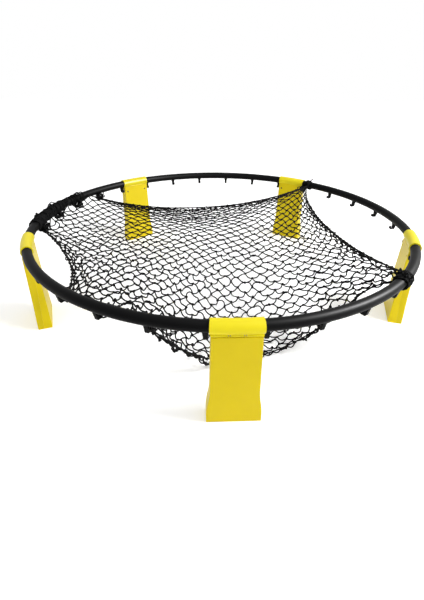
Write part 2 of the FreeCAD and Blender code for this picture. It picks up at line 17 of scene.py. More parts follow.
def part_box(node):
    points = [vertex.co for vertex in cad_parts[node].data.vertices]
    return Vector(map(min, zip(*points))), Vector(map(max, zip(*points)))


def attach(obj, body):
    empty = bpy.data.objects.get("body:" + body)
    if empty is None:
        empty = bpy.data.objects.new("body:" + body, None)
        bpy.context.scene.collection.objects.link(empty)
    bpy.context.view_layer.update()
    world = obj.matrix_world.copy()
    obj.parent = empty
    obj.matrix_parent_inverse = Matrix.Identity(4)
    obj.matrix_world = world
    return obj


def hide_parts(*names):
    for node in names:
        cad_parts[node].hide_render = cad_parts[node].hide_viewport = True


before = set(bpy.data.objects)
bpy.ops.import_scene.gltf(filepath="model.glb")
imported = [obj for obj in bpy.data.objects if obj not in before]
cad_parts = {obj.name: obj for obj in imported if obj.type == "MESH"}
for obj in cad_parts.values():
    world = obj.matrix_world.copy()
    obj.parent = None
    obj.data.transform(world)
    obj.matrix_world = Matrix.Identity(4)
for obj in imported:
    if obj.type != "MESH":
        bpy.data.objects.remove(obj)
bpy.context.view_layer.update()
print("nodes from CAD:", len(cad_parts))

# %% [markdown]
# ## Where the ring and its hooks are
# The net has to hang on real hooks. The ring's size could be typed in, but then the net
# would miss the hooks as soon as the CAD model changes, so it is measured on that model.
# The outer edge of the tube gives the ring's radius, the tube's top gives its height, and
# the lowest point of the sections is the underside of the hooks. Hooks are counted round
# the ring from the front leg, thirty of them, twelve degrees apart, and a fraction is a
# place between two.

# %% Measure the ring
TUBE_DIAMETER = 0.0204
HOOKS = 30
LEGS = 5
FIRST_HOOK = -84
HOOK_THICKNESS = 0.003
# How far inside the tube's middle a cord lies in its hook.
SEAT_INSIDE = 0.0047
section_boxes = [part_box(f"rim_section_{k + 1}") for k in range(LEGS)]
tube_radius = TUBE_DIAMETER / 2
ring_radius = max(high[0] for low, high in section_boxes) - tube_radius
ring_height = max(high[2] for low, high in section_boxes) - tube_radius
hook_floor = min(low[2] for low, high in section_boxes) + HOOK_THICKNESS
hook_seat = ring_radius - SEAT_INSIDE


def hook_angle(number):
    """How far round the ring a hook is, in radians from +X."""
    return np.radians(FIRST_HOOK + 360 / HOOKS * number)


def round_ring(radius, angle, height):
    return np.array([radius * math.cos(angle), radius * math.sin(angle), height])


print("ring radius", round(ring_radius, 4), "height", round(ring_height, 4))

# %% [markdown]
# ## Colours and a helper for nodes
# A colour is easiest to pick as a hex value, the way a paint chart gives it. Blender's
# shaders want linear light, so one function turns the one into the other. A second one
# adds a node with its settings and its links, so that each material below reads as a list
# of what it is made of. A third turns the width of a pattern's features into its scale,
# because a real width is easier to check than a bare scale.

# %% Colour and node helpers
# A Mix node keeps its two colours and their mixture in these sockets, after those for
# numbers and vectors.
MIX_FIRST, MIX_SECOND, MIX_RESULT = 6, 7, 2


def colour(hex_value):
    parts = [int(hex_value[i:i + 2], 16) / 255 for i in (1, 3, 5)]
    linear = [p / 12.92 if p <= 0.04045 else ((p + 0.055) / 1.055) ** 2.4 for p in parts]
    return (*linear, 1)


def add_node(tree, kind, inputs=None, **settings):
    """Adds a node. An input's value may be a number, a colour or another node's output."""
    node = tree.nodes.new(kind)
    for name, value in settings.items():
        setattr(node, name, value)
    for name, value in (inputs or {}).items():
        if isinstance(value, bpy.types.NodeSocket):
            tree.links.new(value, node.inputs[name])
        else:
            node.inputs[name].default_value = value
    return node


def new_material(name):
    """An empty material and its tree of nodes."""
    material = bpy.data.materials.new(name)
    material.use_nodes = True
    material.node_tree.nodes.clear()
    return material, material.node_tree


def pattern_scale(millimetres):
    """The scale of a pattern whose features are that wide: how many go into a metre."""
    return 1000 / millimetres


print("white in linear light:", colour("#FFFFFF"))

# %% [markdown]
# ## The yellow plastic of the legs and collars
# The legs and the collars are injection moulded in ABS, a tough plastic with a soft
# gloss. The tool's surface is spark eroded to a fine grain about a third of a millimetre
# wide, which breaks the highlight up. It is drawn 0.8 mm wide here so that it shows. Use
# leaves faint smears in the gloss, a few centimetres wide, and the yellow is a little
# uneven where the melt cooled. A flat yellow would be quicker, but it looks like card.
# Shell, cover and collar come from three tools. The shell is drawn the deepest yellow of the
# three and the collar the palest: this is painted shade on the shell's upright faces and
# painted light on the collar's top.

# %% Yellow ABS
GRAIN_DEPTH = 0.0002


def moulded_abs(name, base, deep):
    """ABS in two near shades. Its grain scatters most of the reflection."""
    material, tree = new_material(name)
    place = add_node(tree, "ShaderNodeTexCoord").outputs["Object"]
    cloud = add_node(tree, "ShaderNodeTexNoise", {
        "Vector": place, "Scale": pattern_scale(60), "Detail": 3.0, "Roughness": 0.5,
    })
    tint = add_node(tree, "ShaderNodeMix", {
        "Factor": cloud.outputs[0], MIX_FIRST: colour(base), MIX_SECOND: colour(deep),
    }, data_type="RGBA")
    smear = add_node(tree, "ShaderNodeTexNoise", {
        "Vector": place, "Scale": pattern_scale(35), "Detail": 4.0, "Roughness": 0.6,
    })
    gloss = add_node(tree, "ShaderNodeMapRange", {
        "Value": smear.outputs[0], "To Min": 0.3, "To Max": 0.44,
    })
    grain = add_node(tree, "ShaderNodeTexNoise", {
        "Vector": place, "Scale": pattern_scale(0.8), "Detail": 2.0,
    })
    bump = add_node(tree, "ShaderNodeBump", {
        "Height": grain.outputs[0], "Strength": 0.12, "Distance": GRAIN_DEPTH,
    })
    shader = add_node(tree, "ShaderNodeBsdfPrincipled", {
        "Base Color": tint.outputs[MIX_RESULT],
        "Roughness": gloss.outputs[0],
        "Normal": bump.outputs[0],
        "IOR": 1.54,
        "Specular IOR Level": 0.12,
    })
    add_node(tree, "ShaderNodeOutputMaterial", {"Surface": shader.outputs[0]})
    return material


# The shell's deeper yellow is painted shade, and the collar's paler yellow painted light.
shell_yellow_painted_shade = moulded_abs("yellow_shell_abs_painted_shade", "#E2CB15", "#DBC20E")
cover_yellow = moulded_abs("yellow_cover_abs", "#EAD213", "#E3CA0D")
collar_yellow_painted_light = moulded_abs("yellow_collar_abs_painted_light", "#ECDC22", "#E5D31B")
print("yellows:", shell_yellow_painted_shade.name, cover_yellow.name, collar_yellow_painted_light.name)

# %% [markdown]
# ## The black tube
# The rim sections and their hooks are moulded in black high-density polyethylene, a
# slightly waxy plastic. In the photograph it is nearly black all round, with one soft grey
# streak at the front right. A blacker colour alone can't give that, because the white
# surroundings would still shine on it, so it also reflects little and its roughness is
# high. Fine scuffs from pushing the sections together are duller still.

# %% Black polyethylene
def moulded_polyethylene(name, base):
    material, tree = new_material(name)
    place = add_node(tree, "ShaderNodeTexCoord").outputs["Object"]
    scuff = add_node(tree, "ShaderNodeTexNoise", {
        "Vector": place, "Scale": pattern_scale(12), "Detail": 6.0, "Roughness": 0.7,
    })
    gloss = add_node(tree, "ShaderNodeMapRange", {
        "Value": scuff.outputs[0], "To Min": 0.42, "To Max": 0.54,
    })
    grain = add_node(tree, "ShaderNodeTexNoise", {
        "Vector": place, "Scale": pattern_scale(1.2), "Detail": 3.0,
    })
    bump = add_node(tree, "ShaderNodeBump", {
        "Height": grain.outputs[0], "Strength": 0.15, "Distance": GRAIN_DEPTH,
    })
    shader = add_node(tree, "ShaderNodeBsdfPrincipled", {
        "Base Color": colour(base),
        "Roughness": gloss.outputs[0],
        "Normal": bump.outputs[0],
        "Specular IOR Level": 0.06,
    })
    add_node(tree, "ShaderNodeOutputMaterial", {"Surface": shader.outputs[0]})
    return material


rim_black = moulded_polyethylene("black_moulded_polyethylene", "#060607")
print("black:", rim_black.name)

# %% [markdown]
# ## Pins and screws
# The hinge pins are drawn steel rod, in a grey darkened as painted shade for the slits they
# sit in, and little of them shows at the hinges. The screws are drawn a dull brown black
# with a faint mottle, which is painted shade for the recesses they sit in, where they show
# as dark dots. Both could be plain greys, but they are metals, so the colour is the
# reflection's own, and the IOR stays at its default.

# %% Steel, darkened as painted shade
def bare_metal(name, base, smoothest, roughest, speck):
    """Steel whose roughness varies in specks that many mm wide."""
    material, tree = new_material(name)
    mottle = add_node(tree, "ShaderNodeTexNoise", {
        "Vector": add_node(tree, "ShaderNodeTexCoord").outputs["Object"],
        "Scale": pattern_scale(speck),
        "Detail": 3.0,
    })
    gloss = add_node(tree, "ShaderNodeMapRange", {
        "Value": mottle.outputs[0], "To Min": smoothest, "To Max": roughest,
    })
    shader = add_node(tree, "ShaderNodeBsdfPrincipled", {
        "Base Color": colour(base),
        "Metallic": 1.0,
        "Roughness": gloss.outputs[0],
    })
    add_node(tree, "ShaderNodeOutputMaterial", {"Surface": shader.outputs[0]})
    return material


# Both steels are drawn darker than bare steel: painted shade in the hinge slits and the screw
# recesses.
pin_steel_painted_shade = bare_metal("drawn_steel_rod_painted_shade", "#8E9092", 0.3, 0.45, 2)
screw_painted_shade = bare_metal("screw_steel_painted_shade", "#4A4438", 0.35, 0.55, 1.5)
print("steels:", pin_steel_painted_shade.name, screw_painted_shade.name)

# %% [markdown]
# ## Dressing the CAD pieces
# Each piece from CAD keeps its mesh, and only the material in its slots changes. There are
# five of every kind, numbered from the front leg, so the name without its number picks the
# finish. The CAD net gets none, because the knotted net below takes its place.

# %% Dress the CAD pieces
FINISHES = {
    "rim_section": rim_black,
    "collar": collar_yellow_painted_light,
    "leg_shell": shell_yellow_painted_shade,
    "leg_cover": cover_yellow,
    "hinge_pin": pin_steel_painted_shade,
    "leg_screws": screw_painted_shade,
}
for name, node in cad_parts.items():
    finish = FINISHES.get(name.rstrip("0123456789").rstrip("_"))
    if finish:
        for slot in node.material_slots:
            slot.material = finish
print("finishes:", len(FINISHES))

# %% [markdown]
# ## Laying out the net
# A roundnet net is a disc of knotted cord. Before it is hung, its knots lie on a square
# grid that is turned by 45 degrees, so the gaps stand on their corners. An edge cord runs
# round it through the outermost knots. The net is smaller than the ring, because it is
# meant to be pulled tight over all thirty hooks. A cloth with a picture of gaps would hang
# much the same, but it has no cords and no knots to see from close by.

# %% Lay out the knots
NET_RADIUS = 0.41
NET_PITCH = 0.0205
CORDS_AT_INNER_KNOT = 4


def lay_out_knots(radius, pitch):
    """The knots of the flat net, and its cords as pairs of knots, in four sets in which
    no knot comes twice."""
    reach = int(radius / pitch) + 2
    row, column = np.meshgrid(*[np.arange(-reach, reach + 1)] * 2, indexing="ij")
    diagonal = pitch / math.sqrt(2)
    x, y = (row - column) * diagonal, (row + column) * diagonal
    inside = np.hypot(x, y) < radius
    number = np.full(inside.shape, -1)
    number[inside] = np.arange(inside.sum())
    cords = []
    for steps in (number, number.T):
        for odd in (0, 1):
            near, far = steps[odd:-1:2], steps[odd + 1::2]
            both = (near >= 0) & (far >= 0)
            cords.append(np.stack([near[both], far[both]], axis=1))
    return np.stack([x[inside], y[inside]], axis=1), cords


def find_edge(knots, cords):
    """The outermost knots, in order round the net."""
    uses = np.bincount(np.concatenate(cords).ravel(), minlength=len(knots))
    outer = np.where(uses < CORDS_AT_INNER_KNOT)[0]
    return outer[np.argsort(np.arctan2(knots[outer, 1], knots[outer, 0]))]


flat_knots, cords = lay_out_knots(NET_RADIUS, NET_PITCH)
edge = find_edge(flat_knots, cords)
print("knots", len(flat_knots), "edge knots", len(edge))

# %% [markdown]
# ## Where the net is held
# The net is held in four stretches of the ring. Its corner at the right is wound round the
# tube, it is tied at the rear right, and at the left and the front left it goes from hook
# to hook along the tube. Much of its edge was skipped at the front, so a slack apron hangs
# there. The share of the net's edge between one place and the next is what sets that, and
# it is given here in degrees round the net. The free edge at the right, behind and at the
# left has slid together on its cord, so the gaps near it are drawn in, to about half of
# their size at the right, four fifths behind and three quarters at the left. Deeper in the
# net they open again.

# %% Where the net is held
# A place counted in hooks, the share of edge that follows it, and how far that is drawn in,
# where 1 is not at all. The edge is in the hook at a whole number, and lies on the tube's
# inner side at the others.
HELD_AT = [
    (3.15, 4, 1), (3.4, 4, 1), (3.65, 79, 0.55),
    (10.85, 82, 0.8),
    (19, 6, 1), (19.5, 6, 1), (20, 6, 1), (20.5, 6, 1), (21, 6, 1), (21.5, 6, 1), (22, 48, 0.75),
    (26, 6, 1), (26.5, 6, 1), (27, 6, 1), (27.5, 6, 1), (28, 83, 1),
]
# Where on the net's edge the first of these places is, in degrees from +X.
EDGE_START = -33
CORD_RADIUS = 0.0015


def seat_of_net(hook):
    """Where the net is held: in a hook, or between two hooks on the tube's inner side."""
    if hook == int(hook):
        return round_ring(hook_seat, hook_angle(hook), hook_floor + CORD_RADIUS)
    return round_ring(ring_radius - tube_radius - CORD_RADIUS, hook_angle(hook), ring_height)


def held_knots(knots, edge):
    """The knots of the flat net's edge that are held, and the places that hold them."""
    angles = np.arctan2(knots[edge, 1], knots[edge, 0])
    turned = math.radians(EDGE_START)
    held, seats = [], []
    for hook, share, _ in HELD_AT:
        held.append(edge[np.argmin(np.abs(np.angle(np.exp(1j * (angles - turned)))))])
        seats.append(seat_of_net(hook))
        turned += math.radians(share)
    return held, seats


print("held in", len(HELD_AT), "places, all round:", sum(share for _, share, _ in HELD_AT))

# %% How far the net is drawn in
# How far from its edge the net is drawn in.
DRAWN_DEPTH = 0.14
# The drawing in grows from nothing to all over the first sixth of a stretch of free edge,
# and goes back to nothing over the last.
DRAWN_RISE = 6


def drawn_in(knots, a, b):
    """How short each cord is drawn: most at the edge, and less deeper in the net."""
    x, y = ((knots[a] + knots[b]) / 2).T
    deep = np.clip((NET_RADIUS - np.hypot(x, y)) / DRAWN_DEPTH, 0, 1)
    around = (np.degrees(np.arctan2(y, x)) - EDGE_START) % 360
    short = np.ones(len(a))
    begin = 0
    for _, share, drawn in HELD_AT:
        along = (around - begin) / share
        near_middle = np.clip(DRAWN_RISE * np.minimum(along, 1 - along), 0, 1)
        short -= (1 - drawn) * near_middle * (1 - deep)
        begin += share
    return short


print("drawn in most, to a share of", min(drawn for _, _, drawn in HELD_AT))

# %% [markdown]
# ## Hanging the net
# Blender's cloth could hang this net, but a cord can only pull, so a simulation of its own
# is short and gives the same net each time. Gravity moves every knot, and then each cord
# that has become too long draws its two knots together again. A cord that is folded shut
# opens a little, because two knots can't share a place. Knots also stay out of the tube,
# inside the ring and off the floor. Twelve hundred steps bring the net to rest, and in the
# second half of them it swings less, so that it settles.

# %% Pull the cords and keep off the tube
# How short a folded cord may become, as a share of its length.
FOLDED = 0.18
# How near knots come to the tube, to the line along its middle and to the floor, in cord
# radii.
OFF_THE_TUBE, OFF_THE_RING, OFF_THE_FLOOR = 1.5, 5, 3


def pull_together(place, free, a, b, length):
    """Shortens the cords that are too long, and opens those that are folded shut."""
    along = place[b] - place[a]
    now = np.linalg.norm(along, axis=1) + 1e-9
    change = np.maximum(now - length, 0) + np.minimum(now - length * FOLDED, 0)
    share = change / now / np.maximum(free[a] + free[b], 1)
    place[a] += along * (share * free[a])[:, None]
    place[b] -= along * (share * free[b])[:, None]


def keep_off_the_tube(place, free):
    """Pushes knots out of the tube and keeps them inside the ring and off the floor."""
    across = np.hypot(place[:, 0], place[:, 1])
    beside, above = across - ring_radius, place[:, 2] - ring_height
    away = np.hypot(beside, above) + 1e-9
    room = tube_radius + CORD_RADIUS * OFF_THE_TUBE
    hit = (away < room) & (free > 0)
    push = room / away[hit] - 1
    place[hit, :2] *= (1 + beside[hit] * push / across[hit])[:, None]
    place[hit, 2] += above[hit] * push
    inside = ring_radius - CORD_RADIUS * OFF_THE_RING
    outside = (across > inside) & (free > 0)
    place[outside, :2] *= (inside / across[outside])[:, None]
    place[:, 2] = np.maximum(place[:, 2], CORD_RADIUS * OFF_THE_FLOOR)


print("off the tube by", round(CORD_RADIUS * OFF_THE_TUBE * 1000, 2), "mm")

# %% Hang the net
HANG_STEPS = 1200
# How often each cord pulls in a step.
HANG_PULLS = 6
GRAVITY = 9.81
TIME_STEP = 0.004
# The share of its speed that a knot keeps from step to step, at first and later.
SWING_KEPT, SETTLING_KEPT = 0.985, 0.95
# Knots start about this far off the flat net's pattern, or it would fall without a wrinkle.
UNEVEN_START = 0.0008


def hang_net(knots, cords, edge):
    """Lets the knots fall and settle, held at their places. Returns where they are then."""
    around = np.stack([edge, np.roll(edge, -1)], axis=1)
    even = len(edge) - len(edge) % 2
    sets = cords + [around[0:even:2], around[1:even:2]]
    if len(edge) % 2:
        sets.append(around[even:])
    sets = [(pair[:, 0], pair[:, 1]) for pair in sets]
    lengths = [np.linalg.norm(knots[a] - knots[b], axis=1) for a, b in sets]
    for number, (a, b) in enumerate(sets[:len(cords)]):
        lengths[number] *= drawn_in(knots, a, b)
    place = np.column_stack([knots, np.full(len(knots), hook_floor)])
    place[:, :2] += np.random.default_rng(7).normal(0, UNEVEN_START, knots.shape)
    held, seats = held_knots(knots, edge)
    free = np.ones(len(knots))
    free[held] = 0
    place[held] = seats
    before = place.copy()
    for step in range(HANG_STEPS):
        kept = SWING_KEPT if step < HANG_STEPS / 2 else SETTLING_KEPT
        speed = (place - before) * kept
        before = place.copy()
        place = place + speed
        place[:, 2] -= GRAVITY * TIME_STEP ** 2
        place[held] = seats
        for _ in range(HANG_PULLS):
            for (a, b), length in zip(sets, lengths):
                pull_together(place, free, a, b, length)
        keep_off_the_tube(place, free)
    return place


knots = hang_net(flat_knots, cords, edge)
print("net hangs from", round(knots[:, 2].max(), 3), "down to", round(knots[:, 2].min(), 3))

# %% [markdown]
# ## From knots to cords
# A cord whose two knots came closer than its length can't be straight: it bows. A half
# wave of the right height has the spare length, so each cord gets one, turned to a side
# that differs from cord to cord and drawn down by its weight. A ripple across it keeps two
# cords from looking alike. Cord is stiff enough to keep a curl, too, where little pulls on
# it, which is towards the front. So cords are drawn up to a few hundredths longer behind,
# and in front a quarter longer on average and some of them nearly half. The edge's own cord
# is tight, and runs straight from knot to knot.

# %% Bow the cords
CORD_STEPS = 5
# The most that a cord is longer than its span, as a share of the span.
MOST_SPARE = 1.2
# How strongly weight turns a bow down, beside its random turn of strength 1.
WEIGHT = 0.9
# How high a bow is, as a share of what its spare length allows, and how high its ripple is
# at most, as a share of the bow.
BOW_SHARE, RIPPLE_SHARE = 0.9, 0.35


def bowed_cords(knots, pairs, lengths, seed):
    """The points of every cord: straight where it is tight and bowed where it is slack."""
    rng = np.random.default_rng(seed)
    start, end = knots[pairs[:, 0]], knots[pairs[:, 1]]
    straight = end - start
    reach = np.linalg.norm(straight, axis=1) + 1e-9
    spare = np.clip(lengths / reach - 1, 0, MOST_SPARE)
    side = rng.normal(0, 1, start.shape)
    side[:, 2] -= WEIGHT
    side -= straight * ((side * straight).sum(axis=1) / reach ** 2)[:, None]
    side /= np.linalg.norm(side, axis=1)[:, None] + 1e-9
    second = np.cross(straight / reach[:, None], side)
    height = 2 * reach / math.pi * np.sqrt(spare) * BOW_SHARE
    ripples = rng.uniform(-RIPPLE_SHARE, RIPPLE_SHARE, len(pairs))
    along = np.linspace(0, 1, CORD_STEPS + 1)[None, :, None]
    wave = np.sin(math.pi * along) * (height[:, None, None] * side[:, None, :])
    ripple = np.sin(2 * math.pi * along) * ((height * ripples)[:, None, None] * second[:, None, :])
    line = start[:, None, :] + straight[:, None, :] * along + wave + ripple
    line[:, :, 2] = np.maximum(line[:, :, 2], CORD_RADIUS)
    return line


print("points along a cord:", CORD_STEPS + 1)

# %% How long the cords are drawn
# Slack goes from none to all over this length, from behind to the front, and is half in the
# ring's middle. A little of it is left everywhere.
SLACK_SPAN = 0.6
SLACK_IN_MIDDLE = 0.5
LEAST_SLACK = 0.1
# The curl of a wholly slack cord: how much longer it is than its gap, least and most.
CURL = (0.05, 0.45)
# Where the net is drawn in, this share of it shortens the cords, and bows take up the rest.
DRAWN_SHORTER = 0.6

mesh_pairs = np.concatenate(cords)
edge_pairs = np.stack([edge, np.roll(edge, -1)], axis=1)
pairs = np.concatenate([mesh_pairs, edge_pairs])
lengths = np.linalg.norm(flat_knots[pairs[:, 0]] - flat_knots[pairs[:, 1]], axis=1)
slack = np.clip(SLACK_IN_MIDDLE - knots[mesh_pairs[:, 0], 1] / SLACK_SPAN, LEAST_SLACK, 1)
curl = 1 + slack * np.random.default_rng(3).uniform(*CURL, len(slack))
drawn = 1 - DRAWN_SHORTER + DRAWN_SHORTER * drawn_in(flat_knots, *mesh_pairs.T)
lengths[:len(mesh_pairs)] *= curl * drawn
lengths[len(mesh_pairs):] = 0
lines = bowed_cords(knots, pairs, lengths, seed=11)
print("cords", len(lines), "longest", round(float(lengths.max()), 4))

# %% [markdown]
# ## The spare cord at the hooks
# The net has more edge than its places need. In the photograph some of it is bunched at the
# hooks in small loops, and some is wound round the tube, which shows as dark clumps on the
# ring. One knotted path through all of it would be the truest, but no eye could follow it.
# So each bunch is a set of uneven loops, and each clump a stretch of tilted turns round the
# tube, close on it or in a second layer, with a few lumps of loops on them. One loose end
# stands up where the net is tied at the rear right.

# %% Loops and turns
LOOP_STEPS = 10
TURN_STEPS = 12
# The radius of a loop, least and most, and about how far its middle strays.
LOOP_RADII = (0.003, 0.008)
LOOP_STRAY = 0.0035
# How uneven a loop is, as a share of its radius.
LOOP_UNEVEN = 0.25
# How far one side of a turn leans along the tube, and how bumpy it is in cord radii.
TURN_LEAN = 0.009
TURN_BUMP = 0.4
# How far a turn's cord lies off the tube, in cord radii. Most turns are in the first layer.
TURN_LAYERS = [1.1, 1.1, 2.0]


def bunched_loops(middle, count, rng):
    """Uneven loops about a place, each in a plane of its own."""
    around = np.linspace(0, 2 * math.pi, LOOP_STEPS + 1)[None, :, None]
    first, second = rng.normal(0, 1, (2, count, 1, 3))
    first /= np.linalg.norm(first, axis=2, keepdims=True)
    second -= first * (first * second).sum(axis=2, keepdims=True)
    second /= np.linalg.norm(second, axis=2, keepdims=True)
    size = rng.uniform(*LOOP_RADII, (count, 1, 1))
    phase = rng.uniform(0, 6, (count, 1, 1))
    size = size * (1 + LOOP_UNEVEN * np.sin(2 * around + phase))
    centre = middle + rng.normal(0, LOOP_STRAY, (count, 1, 3))
    return centre + size * (np.cos(around) * first + np.sin(around) * second)


def wound_turns(start, end, count, rng):
    """Tilted turns round the tube, spread unevenly from one place to another."""
    middle = hook_angle(rng.uniform(start, end, count))[:, None]
    lean = rng.uniform(-TURN_LEAN, TURN_LEAN, count)[:, None]
    phase = rng.uniform(0, 2 * math.pi, count)[:, None]
    layer = (tube_radius + CORD_RADIUS * rng.choice(TURN_LAYERS, count))[:, None]
    around = np.linspace(0, 2 * math.pi, TURN_STEPS + 1)[None, :]
    off_middle = layer + CORD_RADIUS * TURN_BUMP * (1 + np.sin(2 * around + phase))
    angle = middle + lean * np.sin(around + phase) / ring_radius
    across = ring_radius + off_middle * np.cos(around)
    height = ring_height + off_middle * np.sin(around)
    return np.stack([across * np.cos(angle), across * np.sin(angle), height], axis=2)


print("points on a loop:", LOOP_STEPS + 1, "and on a turn:", TURN_STEPS + 1)

# %% Bunch and wind the spare cord
# Where loops are bunched, counted in hooks, and how far inside and above the cord's seat.
BUNCHED_AT = [3.3, 3.6, 11, 19, 20, 21, 22, 26, 27, 28]
BUNCH_OFF_SEAT = 0.009
LOOPS_IN_BUNCH = 12
# Where turns go round the tube, from and to, counted in hooks, and how many.
WOUND_ALONG = [
    (3.1, 3.5, 12), (10.75, 10.95, 9), (19.7, 20.3, 8), (20.5, 21.9, 34), (21.9, 22.3, 12),
]
# Lumps of spare cord on those turns: a place in hooks, and how far beside and above the
# tube's middle.
LUMPS_AT = [
    (3.2, 0.003, 0.011), (3.35, -0.009, 0.008), (3.45, 0.002, -0.012), (19.9, -0.006, 0.009),
    (20.6, -0.01, 0.006), (21.1, 0.002, 0.011), (21.9, 0.003, 0.011), (22.2, 0.011, -0.004),
]
LOOPS_IN_LUMP = 5
# The loose end, from its root to its tip: beside the tube's middle, turned in radians from
# its hook, and above the tube.
LOOSE_END_AT = 10.8
LOOSE_END = [(-0.004, 0, 0.001), (-0.002, -0.006, 0.006), (0.002, -0.014, 0.011)]


def bunch_middle(hook):
    return round_ring(hook_seat - BUNCH_OFF_SEAT, hook_angle(hook), hook_floor + BUNCH_OFF_SEAT)


def by_the_tube(hook, beside, above, turned=0):
    return round_ring(ring_radius + beside, hook_angle(hook) + turned, ring_height + above)


rng = np.random.default_rng(5)
bunches = np.concatenate([
    bunched_loops(bunch_middle(hook), LOOPS_IN_BUNCH, rng) for hook in BUNCHED_AT
])
turns = np.concatenate([wound_turns(*stretch, rng) for stretch in WOUND_ALONG])
lumps = np.concatenate([
    bunched_loops(by_the_tube(*place), LOOPS_IN_LUMP, rng) for place in LUMPS_AT
])
loose_end = np.array([[
    by_the_tube(LOOSE_END_AT, beside, tube_radius + above, turned)
    for beside, turned, above in LOOSE_END
]])
print("loops", len(bunches) + len(lumps), "turns", len(turns))

# %% [markdown]
# ## Writing the cords down
# Geometry Nodes can sweep a cord along any edge, so all the lines go into one mesh of loose
# edges. The knots go in behind them as points with a mark, by which the tree can tell them
# from the points along a cord.

# %% Write the cords into one mesh
def net_wires(bundles, knots):
    """One mesh of loose edges: every bundle of lines end to end, then the knots."""
    points, edges, start = [], [], 0
    for lines in bundles:
        steps = lines.shape[1]
        first = start + np.arange(len(lines))[:, None] * steps + np.arange(steps - 1)[None, :]
        edges.append(np.stack([first.ravel(), first.ravel() + 1], axis=1))
        points.append(lines.reshape(-1, 3))
        start += len(points[-1])
    points = np.concatenate(points + [knots])
    mesh = bpy.data.meshes.new("net_wires")
    mesh.from_pydata(points.tolist(), np.concatenate(edges).tolist(), [])
    flag = mesh.attributes.new("is_knot", "BOOLEAN", "POINT")
    flag.data.foreach_set("value", np.arange(len(points)) >= start)
    return mesh


wires = net_wires([lines, bunches, turns, lumps, loose_end], knots)
print("points", len(wires.vertices), "edges", len(wires.edges))

# %% [markdown]
# ## The cord's finish
# The net is braided polyethylene cord, dull black, a little fuzzy and hardly shiny. Its
# plait repeats each 2 mm, and is drawn at 3 mm so that it shows. The plait follows the
# cord, so its bump reads the length along the cord, which the tree below stores. A pattern
# in space would cut across cords that run the other way.

# %% Net cord material
PLAIT_LENGTH = 0.003
PLAIT_DEPTH = 0.0003


def net_cord(name):
    """Braided cord, its plait raised along it."""
    material, tree = new_material(name)
    along = add_node(tree, "ShaderNodeAttribute", attribute_name="cord_along").outputs["Fac"]
    plait = add_node(tree, "ShaderNodeMath", {
        0: along, 1: 2 * math.pi / PLAIT_LENGTH,
    }, operation="MULTIPLY")
    ridge = add_node(tree, "ShaderNodeMath", {0: plait.outputs[0]}, operation="SINE")
    bump = add_node(tree, "ShaderNodeBump", {
        "Height": ridge.outputs[0], "Strength": 0.5, "Distance": PLAIT_DEPTH,
    })
    fuzz = add_node(tree, "ShaderNodeTexNoise", {
        "Vector": add_node(tree, "ShaderNodeTexCoord").outputs["Object"],
        "Scale": pattern_scale(4),
        "Detail": 3.0,
    })
    shade = add_node(tree, "ShaderNodeMix", {
        "Factor": fuzz.outputs[0], MIX_FIRST: colour("#020202"), MIX_SECOND: colour("#0A0A0B"),
    }, data_type="RGBA")
    shader = add_node(tree, "ShaderNodeBsdfPrincipled", {
        "Base Color": shade.outputs[MIX_RESULT],
        "Roughness": 0.8,
        "Normal": bump.outputs[0],
        "Specular IOR Level": 0.06,
    })
    add_node(tree, "ShaderNodeOutputMaterial", {"Surface": shader.outputs[0]})
    return material


cord_black = net_cord("black_braided_cord")
print("cord:", cord_black.name)

# %% [markdown]
# ## Knotting it with Geometry Nodes
# Two things repeat hundreds of times: the cord and the knot. So the tree turns every
# loose edge into a curve and sweeps a small circle along it, and sets a knot on every
# marked point. A real knot's windings are too fine to see at this distance, so the knot is
# an uneven lump about twice as wide as the cord, turned at random, with few faces because
# there are so many. The tree ends with real geometry and a material.

# %% Net tree
CORD_SIDES = 5
KNOT_SIDES, KNOT_RINGS = 6, 4
KNOT_SHAPE = (1.0, 0.85, 1.3)


